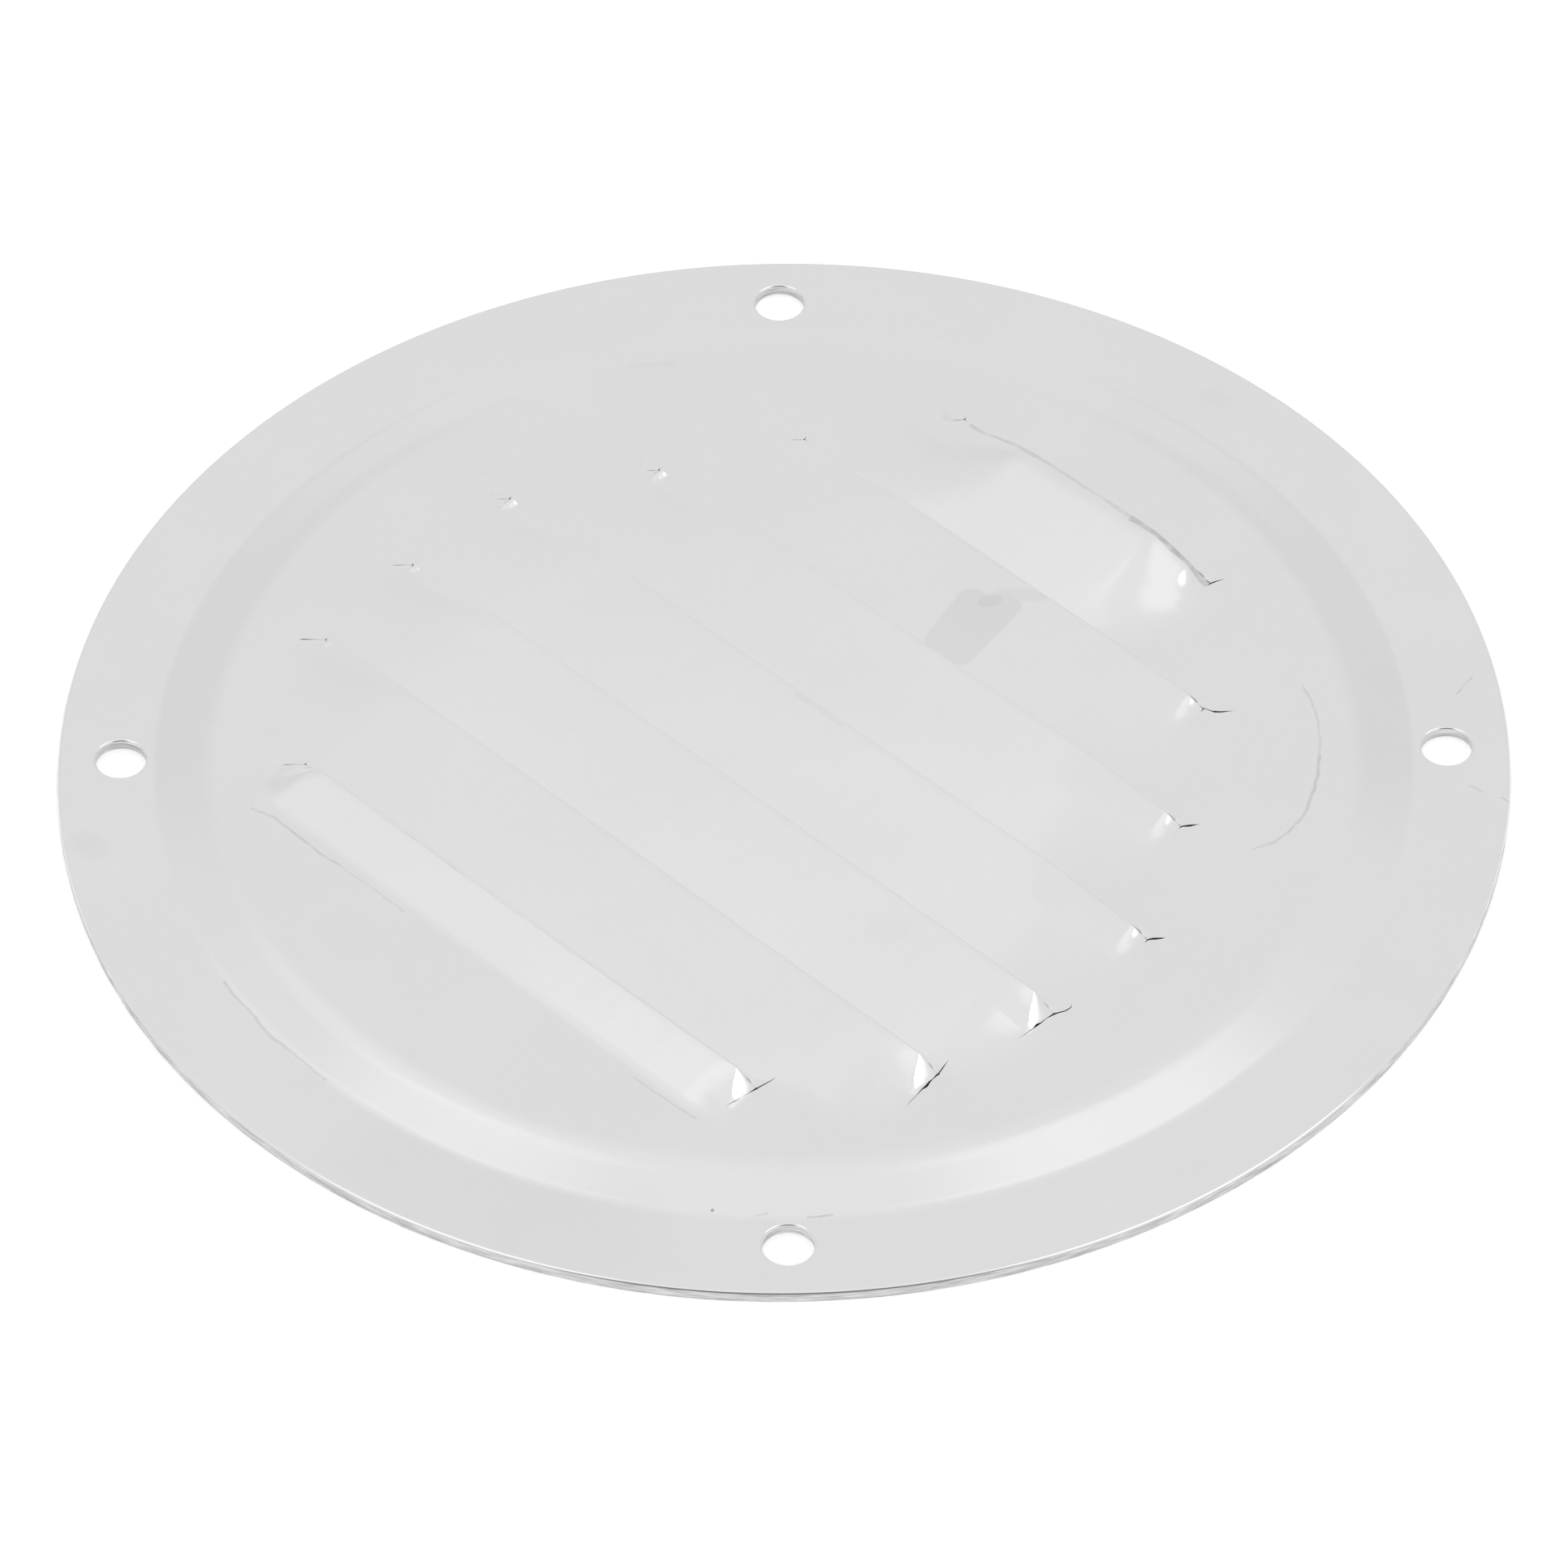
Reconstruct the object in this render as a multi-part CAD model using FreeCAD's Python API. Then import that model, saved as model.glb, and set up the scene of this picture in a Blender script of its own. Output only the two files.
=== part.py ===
import FreeCAD, Part
import math
import os
from FreeCAD import Vector

# Round louvred vent cover, pressed from one disc of sheet steel, in millimetres. The origin is the centre
# of the flange's back face, which lies on the wall. +Z points out of the wall and +Y up it. The louvres
# run along X and open towards -Y, so that rain runs past them.

# Sheet and outline
cover_diameter = 127.0
sheet = 1.0
rim_rollover = 0.25          # broken front edge, where the blanking punch draws the sheet over

# Flange and its screw holes
flange_width = 8.0           # rim to the foot of the dish
hole_count = 4
hole_diameter = 4.5
hole_to_rim = 5.5            # hole centre to rim
hole_start_angle = 45.0      # degrees from +X
hole_rollover = 0.2

# Dish: the raised middle and its S-shaped shoulder, measured on the front face
dish_rise = 1.2
shoulder_angle = 14.5        # steepest slope, degrees
foot_bend = 4.5              # hollow bend at the flange
crown_bend = 12.0            # soft bend at the plateau

# Louvres, counted from the top of the cover
crease_to_shoulder = 11.4    # fold of the first louvre to the plateau's top edge
first_slat_width = 6.35      # that fold to the first cut
last_cut_to_shoulder = 8.1   # lowest cut to the plateau's bottom edge
# each louvre's ends to the plateau's edge, along X: its -X end, then its +X end
left_end_to_shoulder = (10.3, 7.7, 8.9, 9.4, 13.9, 16.0, 13.8)
right_end_to_shoulder = (9.6, 6.9, 8.9, 9.3, 13.5, 13.7, 9.7)
slat_rise = 1.0              # pressed-out edge above the plateau
last_slat_rise = 2.2         # the lowest louvre stands out further
lip_dip = 0.6                # sheet below each cut, pressed in
lip_width = 0.8
cut_gap = 0.2                # clear width of the cut, seen from the front
land_width = 0.2             # flat left between a pressed-in lip and the next slat
end_run = 2.2                # torn corner of a slat, folded down to the plateau
end_blend = 7.0              # distance from its end at which a slat stands at its full slope
corner_rise = 0.85           # height of the slat's edge behind that corner, as a share of its rise
tear_width = 0.3             # tear across each end of a cut
tear_up = 3.4
tear_down = 1.7

# Bend of each strip: its height one third and two thirds of the way from fold to edge, as shares of its rise
crease_bend = (0.28, 0.64)
slat_bend = (0.33, 0.67)     # the slats are all but flat, like a saw tooth
corner_bend = (0.02, 0.3)    # beside a torn corner only the edge is lifted
lip_bend = (0.2, 0.8)

# Worked out from the sizes above
rim_radius = cover_diameter / 2
foot_radius = rim_radius - flange_width
slope = math.radians(shoulder_angle)
straight = (dish_rise - (foot_bend + crown_bend) * (1 - math.cos(slope))) / math.sin(slope)
shoulder_width = (foot_bend + crown_bend) * math.sin(slope) + straight * math.cos(slope)
plateau_radius = foot_radius - shoulder_width
plateau_front = sheet + dish_rise
first_cut = plateau_radius - crease_to_shoulder - first_slat_width
last_cut = last_cut_to_shoulder - plateau_radius
louvre_count = len(left_end_to_shoulder)
pitch = (first_cut - last_cut) / (louvre_count - 1)
slat_width = pitch - lip_width - land_width
clear = 1.0 + sheet          # how far cutting tools stand past the sheet


def section_point(radius, height):
    return Vector(radius, 0, height)


def arc_through(centre_r, centre_z, radius, start, end):
    """Arc in the section plane between two angles from +X, in radians."""
    def at(angle):
        return section_point(centre_r + radius * math.cos(angle), centre_z + radius * math.sin(angle))
    return Part.Arc(at(start), at((start + end) / 2), at(end)).toShape()


def line_between(start, end):
    return Part.LineSegment(start, end).toShape()


def end_of(edge):
    return edge.valueAt(edge.LastParameter)


def start_of(edge):
    return edge.valueAt(edge.FirstParameter)


def pressed_disc():
    """Flange, shoulder and plateau, as one section of constant thickness turned round the axis."""
    up = math.pi / 2
    crown_z = plateau_front - crown_bend
    foot_z = sheet + foot_bend
    crown_front = arc_through(plateau_radius, crown_z, crown_bend, up, up - slope)
    foot_front = arc_through(foot_radius, foot_z, foot_bend, -up - slope, -up)
    foot_back = arc_through(foot_radius, foot_z, foot_bend + sheet, -up, -up - slope)
    crown_back = arc_through(plateau_radius, crown_z, crown_bend - sheet, up - slope, up)
    rim_top = section_point(rim_radius - rim_rollover, sheet)
    rim_front = section_point(rim_radius, sheet - rim_rollover)
    rim_back = section_point(rim_radius, 0)
    axis_back = section_point(0, dish_rise)
    axis_front = section_point(0, plateau_front)
    edges = [
        line_between(axis_front, start_of(crown_front)),
        crown_front,
        line_between(end_of(crown_front), start_of(foot_front)),
        foot_front,
        line_between(end_of(foot_front), rim_top),
        line_between(rim_top, rim_front),
        line_between(rim_front, rim_back),
        line_between(rim_back, start_of(foot_back)),
        foot_back,
        line_between(end_of(foot_back), start_of(crown_back)),
        crown_back,
        line_between(end_of(crown_back), axis_back),
        line_between(axis_back, axis_front),
    ]
    section = Part.Face(Part.Wire(edges))
    return section.revolve(Vector(0, 0, 0), Vector(0, 0, 1), 360)


def screw_hole():
    """Cutting tool for one punched hole, with a broken edge at the front where the sheet rolls over."""
    radius = hole_diameter / 2
    mouth = radius + hole_rollover
    points = [
        section_point(0, -clear),
        section_point(radius, -clear),
        section_point(radius, sheet - hole_rollover),
        section_point(mouth, sheet),
        section_point(mouth, sheet + clear),
        section_point(0, sheet + clear),
    ]
    outline = Part.makePolygon(points + points[:1])
    return Part.Face(outline).revolve(Vector(0, 0, 0), Vector(0, 0, 1), 360)


def hole_ring():
    circle_radius = rim_radius - hole_to_rim
    tools = []
    for i in range(hole_count):
        angle = math.radians(hole_start_angle + 360 / hole_count * i)
        tool = screw_hole()
        tool.translate(Vector(circle_radius * math.cos(angle), circle_radius * math.sin(angle), 0))
        tools.append(tool)
    return tools


def strip_section(x, fold_y, edge_y, rise, bend):
    """Section of a bent strip across the louvre: its front curve, and the same curve one sheet behind."""
    step = (edge_y - fold_y) / 3
    heights = (0, bend[0] * rise, bend[1] * rise, rise)
    front = [Vector(x, fold_y + step * i, plateau_front + heights[i]) for i in range(4)]
    back = [point - Vector(0, 0, sheet) for point in reversed(front)]
    edges = []
    for poles in (front, back):
        curve = Part.BezierCurve()
        curve.setPoles(poles)
        edges.append(curve.toShape())
    edges.insert(1, line_between(front[-1], back[0]))
    edges.append(line_between(back[-1], front[0]))
    return Part.Wire(edges)


def bent_strip(fold_y, edge_y, stations):
    """Strip of the sheet beside a cut. Each station gives its place along X, its rise and its bend."""
    wires = [strip_section(x, fold_y, edge_y, rise, bend) for x, rise, bend in stations]
    return Part.makeLoft(wires, True, True)


def slat_stations(left_x, right_x, rise, bend):
    """From each end the slat's corner climbs off the plateau, then the whole slat takes its slope."""
    corner = corner_rise * rise
    return (
        (left_x, 0, corner_bend),
        (left_x + end_run, corner, corner_bend),
        (left_x + end_blend, rise, bend),
        (right_x - end_blend, rise, bend),
        (right_x - end_run, corner, corner_bend),
        (right_x, 0, corner_bend),
    )


def lip_stations(left_x, right_x):
    return (
        (left_x, 0, lip_bend),
        (left_x + end_run, -lip_dip, lip_bend),
        (right_x - end_run, -lip_dip, lip_bend),
        (right_x, 0, lip_bend),
    )


def louvre(index):
    """One lanced louvre: the window to take out, the two bent strips to put back, and the end tears."""
    cut_y = first_cut - pitch * index
    chord = math.sqrt(plateau_radius ** 2 - cut_y ** 2)
    left_x = left_end_to_shoulder[index] - chord
    right_x = chord - right_end_to_shoulder[index]
    is_first = index == 0
    is_last = index == louvre_count - 1
    fold_y = cut_y + (first_slat_width if is_first else slat_width)
    bend = crease_bend if is_first else slat_bend
    rise = last_slat_rise if is_last else slat_rise
    slat = bent_strip(fold_y, cut_y, slat_stations(left_x, right_x, rise, bend))
    lip = bent_strip(cut_y - lip_width, cut_y - cut_gap, lip_stations(left_x, right_x))
    window = Part.makeBox(
        right_x - left_x, fold_y - cut_y + lip_width, sheet + 2 * clear,
        Vector(left_x, cut_y - lip_width, dish_rise - clear),
    )
    tears = [
        Part.makeBox(
            tear_width, tear_up + tear_down, sheet + 2 * clear + last_slat_rise,
            Vector(x - tear_width / 2, cut_y - tear_down, dish_rise - clear),
        )
        for x in (left_x, right_x)
    ]
    return window, [slat, lip], tears


def vent_cover():
    louvres = [louvre(i) for i in range(louvre_count)]
    windows = [item[0] for item in louvres]
    strips = [strip for item in louvres for strip in item[1]]
    tears = [tear for item in louvres for tear in item[2]]
    blank = pressed_disc().cut(hole_ring() + windows)
    return blank.fuse(strips).removeSplitter().cut(tears)


os.makedirs("parts", exist_ok=True)
cover = vent_cover()
solid = cover.Solids[0]
print("solids", len(cover.Solids), "valid", cover.isValid(), "volume", round(solid.Volume, 1))
print("plateau radius", round(plateau_radius, 2), "pitch", round(pitch, 2), "first cut", round(first_cut, 2))
solid.exportStep("parts/louvred_cover.step")
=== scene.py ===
import math

import bpy
import numpy as np
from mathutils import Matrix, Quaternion, Vector
from mathutils.geometry import delaunay_2d_cdt


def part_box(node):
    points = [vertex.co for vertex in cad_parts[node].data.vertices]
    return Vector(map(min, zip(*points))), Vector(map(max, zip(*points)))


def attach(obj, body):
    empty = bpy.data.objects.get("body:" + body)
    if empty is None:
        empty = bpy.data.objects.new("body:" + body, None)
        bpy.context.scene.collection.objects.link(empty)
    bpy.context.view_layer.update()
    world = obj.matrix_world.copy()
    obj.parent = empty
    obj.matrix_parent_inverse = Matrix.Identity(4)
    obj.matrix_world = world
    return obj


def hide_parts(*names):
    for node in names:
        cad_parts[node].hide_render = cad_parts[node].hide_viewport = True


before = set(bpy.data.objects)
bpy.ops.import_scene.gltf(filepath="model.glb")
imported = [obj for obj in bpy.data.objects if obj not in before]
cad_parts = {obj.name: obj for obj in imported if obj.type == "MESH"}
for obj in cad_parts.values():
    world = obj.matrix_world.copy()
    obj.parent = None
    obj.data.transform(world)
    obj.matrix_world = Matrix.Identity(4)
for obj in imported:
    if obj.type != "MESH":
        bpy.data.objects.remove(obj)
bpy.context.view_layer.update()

scene = bpy.context.scene
mm = 0.001
node = "louvred_cover"
print("frame loaded:", sorted(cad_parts))


# The cover, in millimetres as pressed: x along the louvres, y up the wall, z out of it
cover = {
    "sheet": 1.0,
    "rimRoll": 0.30,            # front edge drawn over by the blanking punch
    "flangeWidth": 8.0,
    "holeCount": 4,
    "holeRadius": 2.25,
    "holeRoll": 0.2,
    "holeToRim": 5.5,
    "holeStart": 45.0,
    "dishRise": 1.2,
    "shoulderSlope": 14.5,
    "footBend": 4.5,
    "crownBend": 12.0,
    "creaseToShoulder": 11.4,
    "firstSlatWidth": 6.35,
    "lastCutToShoulder": 8.1,
    "lipDip": 0.4,
    "lipWidth": 0.42,
    "lipSinks": (2.2, 10.0),    # length over which the lip sinks from its -x end and its +x end
    "lipLate": 4.0,             # at the +x end it only starts to sink this far in
    "cutGap": 0.2,
    "gapOpens": (3.0, 9.0),     # length over which a cut opens from each end
    "gapShut": 0.15,            # share of its width that is left at the very end
    "roundStarts": (0.5, 2.0),  # length over which the rounding of a slat's edge comes in from each end
    "foldUnder": 0.5,           # each slat's fold is hidden this far below the cut above it
    "foldShows": (1.0, 4.0),    # past that cut it turns soft, from this far inside, over this length
    "creaseSoft": 0.25,         # share of a slat over which an open fold is rounded
    "foldSoft": 0.02,           # the same under a cut
    "endSpread": 7.0,           # how far past its ends a louvre bends the plateau
    "dentFall": 1.6,            # how fast a dent runs out within its radius
    "edgeNick": 0.02,           # small waves along a cut edge
    "nickWaves": ((0.9, 2.1, 1.0), (2.3, 1.0, 0.6)),  # step along x, step per louvre, share
    "sheetWave": 0.010,         # the pressed sheet is never quite flat
    "waveLengths": (14.0, 34.0),
    "waveCount": 14,
    "waveFade": (4.0, 12.0),    # the waves end this far outside the plateau, and fade over this length
    "fracture": 0.012,          # how far the torn lower half of a sheared wall steps back
    "shearRows": ((0.4, 0.0), (0.62, 0.45), (0.82, 0.9)),  # depth in the wall, share of that step
    "shearJitter": 0.03,
    "rollSheared": 0.14,        # outermost share of the rim's roll-over that is sheared, not polished
    "seed": 7,
}

# One row per louvre, from the top: gap from each end to the shoulder, rise at the -x end and at the +x
# end, how far the edge bows up the wall, radius of the cut edge at each end, its soft roll-off
louvreRows = (
    {"ends": (10.3, 9.6), "rise": (1.22, 0.74), "bow": 0.20, "round": (0.22, 0.15), "soften": (0.02, 0.8)},
    {"ends": (7.7, 6.9), "rise": (1.15, 0.90), "bow": 0.05, "round": (0.16, 0.12), "soften": (0.01, 0.8)},
    {"ends": (8.9, 8.9), "rise": (1.40, 1.05), "bow": 0.05, "round": (0.17, 0.12), "soften": (0.01, 0.8)},
    {"ends": (9.4, 9.3), "rise": (1.50, 0.95), "bow": 0.10, "round": (0.15, 0.15), "soften": (0.01, 0.8)},
    {"ends": (13.9, 13.5), "rise": (1.55, 0.95), "bow": 0.15, "round": (0.14, 0.15), "soften": (0.01, 0.8)},
    {"ends": (16.0, 13.7), "rise": (1.25, 0.80), "bow": 0.20, "round": (0.18, 0.14), "soften": (0.01, 0.8)},
    {"ends": (13.8, 9.7), "rise": (2.45, 1.75), "bow": 0.0, "round": (0.22, 0.22), "soften": (0.16, 2.2)},
)

# Each end of a slat, first -x, then +x, in millimetres
# fold: width of the small facet at the torn corner, its share of the climb, and its form, from a crisp
# triangle (0) to a soft ramp (1)
# climb: length over which the torn edge climbs the rest; lean: how far the tear leans out as it goes up
# reach: how far the tear reaches up the slat
# joined: length over which the part still joined to the plateau climbs, and how far outside it starts
# ear: torn tip standing proud: height, run, back slope, length up the slat
noEar = (0.0, 0.4, 0.8, 1.0)
crispEnd = {"climb": 8.0, "lean": 0.1, "reach": 3.4, "joined": (8.0, 2.0), "ear": noEar}
rampEnd = {"climb": 14.0, "lean": 0.18, "reach": 4.0, "joined": (13.0, 2.5), "ear": noEar}
lowEnd = {"fold": (1.0, 0.22, 0.8), "climb": 13.0, "lean": 0.8, "reach": 1.8, "joined": (16.0, 5.0),
          "ear": noEar}
earedEnd = {**lowEnd, "fold": (1.0, 0.12, 0.8), "ear": (0.42, 0.5, 1.1, 1.8)}
louvreCorners = (
    ({**crispEnd, "fold": (2.3, 1.0, 0.2), "climb": 4.0, "joined": (5.5, 1.5)},
     {"fold": (1.8, 0.8, 0.8), "climb": 3.0, "lean": 0.4, "reach": 3.6, "joined": (3.0, 1.4), "ear": noEar}),
    ({**crispEnd, "fold": (2.2, 1.0, 0.2)}, {**lowEnd, "ear": (0.16, 0.5, 0.9, 1.0)}),
    ({**crispEnd, "fold": (2.3, 0.9, 0.2)}, {**lowEnd, "ear": (0.22, 0.5, 0.9, 1.0)}),
    ({**rampEnd, "fold": (2.0, 0.38, 1.0)}, earedEnd),
    ({**rampEnd, "fold": (2.0, 0.38, 1.0)}, earedEnd),
    ({**rampEnd, "fold": (2.0, 0.46, 1.0), "reach": 4.2}, lowEnd),
    ({"fold": (2.8, 0.28, 1.0), "climb": 8.0, "lean": 0.15, "reach": 4.4, "joined": (9.0, 2.2),
      "ear": noEar},
     {"fold": (2.0, 0.0, 1.0), "climb": 9.0, "lean": 0.3, "reach": 4.0, "joined": (16.0, 7.0),
      "ear": (0.18, 1.0, 1.3, 2.2)}),
)

# Ragged tears from the end of each cut, first -x, then +x, up the slat and then below the cut:
# distance from the cut, distance past the end of the cut, half width
nickBelow = ((0.10, 0.02, 0.02), (0.3, 0.06, 0))
tearBelow = ((0.12, 0.05, 0.03), (0.4, 0.15, 0))
louvreTears = (
    (
        (((0.15, 0.02, 0.07), (0.8, -0.02, 0.02), (1.6, -0.10, 0.015), (2.2, -0.12, 0.03),
          (2.9, -0.22, 0.02), (3.5, -0.33, 0)),
         ((0.2, 0.06, 0.06), (0.9, 0.18, 0.05), (1.6, 0.32, 0.03), (2.05, 0.37, 0))),
        (((0.06, 0.05, 0.010), (0.6, 0.6, 0.02), (1.1, 1.12, 0.05), (1.5, 1.5, 0)),
         nickBelow),
    ),
    (
        (((0.15, 0.02, 0.08), (0.7, 0.10, 0.03), (1.2, 0.15, 0.08), (1.7, 0.30, 0.12), (2.3, 0.30, 0.05),
          (3.0, 0.45, 0.02), (3.9, 0.55, 0.02), (4.7, 0.75, 0)),
         ((0.2, -0.05, 0.06), (0.9, -0.25, 0.05), (1.75, -0.45, 0))),
        (((0.06, 0.05, 0.010), (0.5, 0.5, 0.02), (1.0, 1.02, 0.05), (1.4, 1.42, 0.08), (1.65, 1.65, 0)),
         nickBelow),
    ),
    (
        (((0.15, 0.05, 0.08), (0.9, 0.0, 0.02), (1.6, 0.05, 0.04), (2.1, 0.0, 0.10), (2.6, 0.05, 0.03),
          (3.4, 0.02, 0.02), (4.4, -0.05, 0)),
         ((0.2, 0.15, 0.08), (0.9, 0.50, 0.06), (1.5, 0.55, 0.04), (1.9, 0.30, 0))),
        (((0.06, 0.05, 0.010), (0.5, 0.5, 0.03), (1.0, 0.95, 0.04), (1.4, 1.30, 0)),
         nickBelow),
    ),
    (
        (((0.15, 0.0, 0.05), (0.5, 0.05, 0)),
         ((0.1, 0.06, 0.11), (0.5, 0.35, 0.17), (0.9, 0.70, 0.10), (1.2, 0.90, 0))),
        (((0.06, 0.05, 0.012), (0.5, 0.45, 0.04), (0.9, 0.80, 0)),
         tearBelow),
    ),
    (
        (((0.15, 0.0, 0.05), (0.4, 0.0, 0)),
         ((0.1, 0.08, 0.10), (0.5, 0.40, 0.16), (0.9, 0.65, 0.08), (1.3, 0.95, 0))),
        (((0.06, 0.05, 0.012), (0.5, 0.45, 0.04), (0.9, 0.80, 0)),
         tearBelow),
    ),
    (
        (((0.15, 0.0, 0.06), (0.5, 0.10, 0)),
         ((0.08, 0.30, 0.12), (0.25, 0.85, 0.17), (0.7, 1.35, 0.12), (1.2, 1.75, 0.05), (1.6, 2.05, 0))),
        (((0.06, 0.05, 0.012), (0.6, 0.55, 0.03), (1.0, 0.90, 0)),
         tearBelow),
    ),
    (
        (((0.15, 0.0, 0.05), (0.5, 0.0, 0)),
         ((0.2, 0.06, 0.08), (0.8, 0.30, 0.04), (1.3, 0.50, 0))),
        (((0.08, 0.06, 0.02), (0.6, 0.50, 0.04), (1.1, 0.85, 0)),
         tearBelow),
    ),
)

# Small dents beside the torn ends: louvre, end, place from the end of the cut, radius, depth
endDents = (
    (1, -1, (-1.2, -0.6), 0.9, 0.04),
    (5, -1, (-1.4, 0.9), 0.9, 0.03),
    (0, 1, (1.6, 2.0), 1.2, 0.06),
    (2, 1, (1.2, 0.6), 0.9, 0.08),
    (3, 1, (1.2, 0.4), 0.9, 0.08),
    (4, 1, (1.3, 0.4), 0.9, 0.08),
    (6, 1, (0.8, 0.8), 1.0, 0.10),
)

# How closely the sheet is divided: counts, shares, and lengths in millimetres
meshSteps = {
    "ringCount": 440,
    "ringParts": (9, 5, 8, 8, 7),    # rings over the crown, ramp, foot, flange and roll-over
    "holePoints": 56,
    "holeRings": (0, 0.06, 0.2, 0.4, 0.65, 1.0),  # shares of the hole's roll-over
    "holeOuter": 0.7,           # last ring of points round a hole
    "holeClear": 0.5,           # the big rings stop this far from a hole
    "endStations": ((0.05, 0.15), (0.3, 3.3, 0.2), (3.3, 9.0, 0.5)),  # along a cut from each end
    "middleStep": 0.9,
    "slatRows": (0.0, 0.02, 0.05, 0.08, 0.16, 0.25, 0.35, 0.45, 0.55, 0.65, 0.74, 0.82),  # fold to edge
    "edgeRows": (1.2, 0.8, 0.5),                # distance from the edge
    "roundRows": (1.0, 0.6, 0.3, 0.12, 0.03),   # shares of the edge's radius
    "lipRows": (0.0, 0.25, 0.5, 0.75, 0.95),
    "facetRows": (0.5, 0.85, 1.0, 1.1),         # shares of a torn corner's width
    "facetPoints": 14,
    "endAlong": (-5.4, 4.0, 0.42),  # grid round a torn end: from, to, step
    "endAcross": (-2.4, 0.6, 0.4),  # below the cut, above the fold, step
    "lineClear": 0.004,         # rows stop this far from a cut
    "gridClear": 0.15,          # and the grids this far
    "coarse": 1.6,              # grid on the open plateau
    "coarseClear": (7.2, 1.5, 0.5),  # it stops this far past a louvre's ends, below its cut, above its fold
    "fieldInset": 2.4,          # rows and grids stay this far inside the plateau
    "crispInset": 2.5,          # normals are read inside their triangle from here inwards
    "normalPull": 0.04,         # how far towards the middle of the triangle
}

rimRadius = (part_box(node)[1].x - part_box(node)[0].x) / 2 / mm
slope = math.radians(cover["shoulderSlope"])
footRadius = rimRadius - cover["flangeWidth"]
bendSum = cover["footBend"] + cover["crownBend"]
straight = (cover["dishRise"] - bendSum * (1 - math.cos(slope))) / math.sin(slope)
crownEnd = footRadius - cover["footBend"] * math.sin(slope) - straight * math.cos(slope)
plateauRadius = crownEnd - cover["crownBend"] * math.sin(slope)
fieldRadius = plateauRadius - meshSteps["fieldInset"]


def quarterRound(distance, radius):
    # drop of a rounded edge, from its tangent (distance 0) to its end (distance = radius)
    inside = np.clip(distance, 0, radius)
    return radius - np.sqrt(radius ** 2 - inside ** 2)


def dishProfile(r, back):
    # height of the front or back face at radius r, before the louvres
    thick = cover["sheet"]
    foot = cover["footBend"] + (thick if back else 0)
    crown = cover["crownBend"] - (thick if back else 0)
    footTop = footRadius - foot * math.sin(slope)
    crownLow = plateauRadius + crown * math.sin(slope)
    z = np.full_like(r, 0.0 if back else thick)
    inFoot = (r < footRadius) & (r >= footTop)
    z[inFoot] += foot - np.sqrt(foot ** 2 - (footRadius - r[inFoot]) ** 2)
    inSlope = (r < footTop) & (r >= crownLow)
    z[inSlope] += foot * (1 - math.cos(slope)) + (footTop - r[inSlope]) * math.tan(slope)
    inCrown = (r < crownLow) & (r >= plateauRadius)
    z[inCrown] += cover["dishRise"] - crown + np.sqrt(crown ** 2 - (r[inCrown] - plateauRadius) ** 2)
    z[r < plateauRadius] += cover["dishRise"]
    return z


def circlePoints(cx, cy, radius, count, turn=0.0):
    angle = np.linspace(0, 2 * math.pi, count, endpoint=False) + turn
    return np.stack([cx + radius * np.cos(angle), cy + radius * np.sin(angle)], 1)


holeCentres = circlePoints(
    0, 0, rimRadius - cover["holeToRim"], cover["holeCount"], math.radians(cover["holeStart"]),
)


def rolledEdges(x, y):
    # how far the front face drops where the rim and the holes are drawn over
    drop = quarterRound(np.hypot(x, y) - rimRadius + cover["rimRoll"], cover["rimRoll"])
    for cx, cy in holeCentres:
        q = np.hypot(x - cx, y - cy)
        drop += quarterRound(cover["holeRadius"] + cover["holeRoll"] - q, cover["holeRoll"])
    return drop


def louvreList():
    firstCut = plateauRadius - cover["creaseToShoulder"] - cover["firstSlatWidth"]
    lastCut = cover["lastCutToShoulder"] - plateauRadius
    pitch = (firstCut - lastCut) / (len(louvreRows) - 1)
    noCutAbove = (rimRadius, -rimRadius)
    made = []
    for i, row in enumerate(louvreRows):
        cutY = firstCut - pitch * i
        chord = math.sqrt(plateauRadius ** 2 - cutY ** 2)
        width = cover["firstSlatWidth"] if i == 0 else pitch - cover["foldUnder"]
        made.append({
            "index": i,
            "cutY": cutY,
            "foldY": cutY + width,
            "left": row["ends"][0] - chord,
            "right": chord - row["ends"][1],
            "hidden": (made[-1]["left"], made[-1]["right"]) if made else noCutAbove,
            "row": row,
            "corners": louvreCorners[i],
            "tears": louvreTears[i],
        })
    return made


louvres = louvreList()
rng = np.random.default_rng(cover["seed"])
waveAngles = rng.uniform(0, 2 * math.pi, cover["waveCount"])
wavePhases = rng.uniform(0, 2 * math.pi, cover["waveCount"])
waveSteps = 2 * math.pi / rng.uniform(*cover["waveLengths"], cover["waveCount"])


def sheetWave(x, y):
    z = np.zeros_like(x)
    for angle, phase, step in zip(waveAngles, wavePhases, waveSteps):
        z += np.sin(step * (x * math.cos(angle) + y * math.sin(angle)) + phase)
    past, fade = cover["waveFade"]
    inside = np.clip((plateauRadius + past - np.hypot(x, y)) / fade, 0, 1)  # the flange stays flat
    return z * cover["sheetWave"] / math.sqrt(cover["waveCount"]) * inside


def easeSoft(t):
    return t * t * (3 - 2 * t)


def alongShare(louvre, x):
    return np.clip((x - louvre["left"]) / (louvre["right"] - louvre["left"]), 0, 1)


def fromEnds(louvre, x, lengths, late=0):
    # distance from the nearer end of a louvre, in shares of the length given for that end
    return np.minimum((x - louvre["left"]) / lengths[0], (louvre["right"] - x - late) / lengths[1])


def between(pair, share):
    return pair[0] + (pair[1] - pair[0]) * share


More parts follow.
